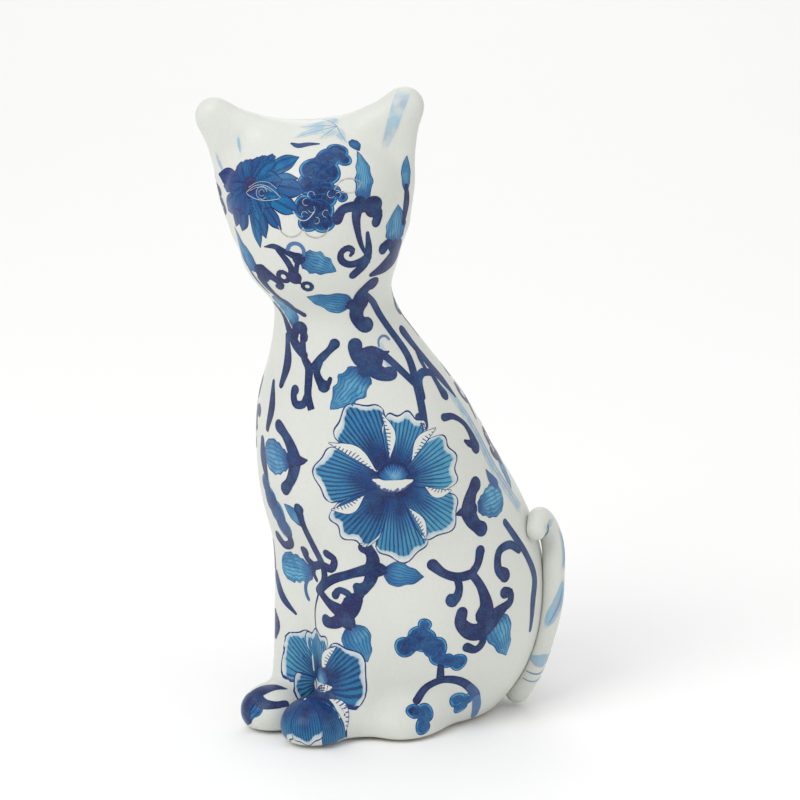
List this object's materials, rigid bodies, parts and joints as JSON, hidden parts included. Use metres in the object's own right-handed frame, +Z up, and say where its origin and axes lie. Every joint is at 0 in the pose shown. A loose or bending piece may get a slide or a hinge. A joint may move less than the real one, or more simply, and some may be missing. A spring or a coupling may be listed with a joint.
{
  "type": "ceramic cat figurine",
  "caption": "Hollow glazed ceramic figurine of a seated cat, head turned to its left and tail curled up the hip, with hand-painted blue flowers and scrolling vines on white.",
  "frame": {"origin": "middle of the footprint on the table, under the felt pads", "axes": "+Z up, -Y the way the cat's chest faces, +X the cat's left, where its tail lies"},
  "size_m": [0.0906, 0.1144, 0.221],
  "materials": {
    "glaze": "off-white satin glaze over hand-painted cobalt-blue flowers, leaves and scrolling vines, with fine pits and specks",
    "bisque": "unglazed warm white bisque, dry and slightly sandy",
    "felt": "dense dark grey pressed wool felt"
  },
  "bodies": {
    "root": {"torso_shell": "glaze", "head_shell": "glaze", "left_ear": "glaze", "right_ear": "glaze", "left_forepaw": "glaze", "right_forepaw": "glaze", "tail": "glaze", "base_plate": "bisque", "pad_front_left": "felt", "pad_front_right": "felt", "pad_back_left": "felt", "pad_back_right": "felt"}
  },
  "joints": []
}
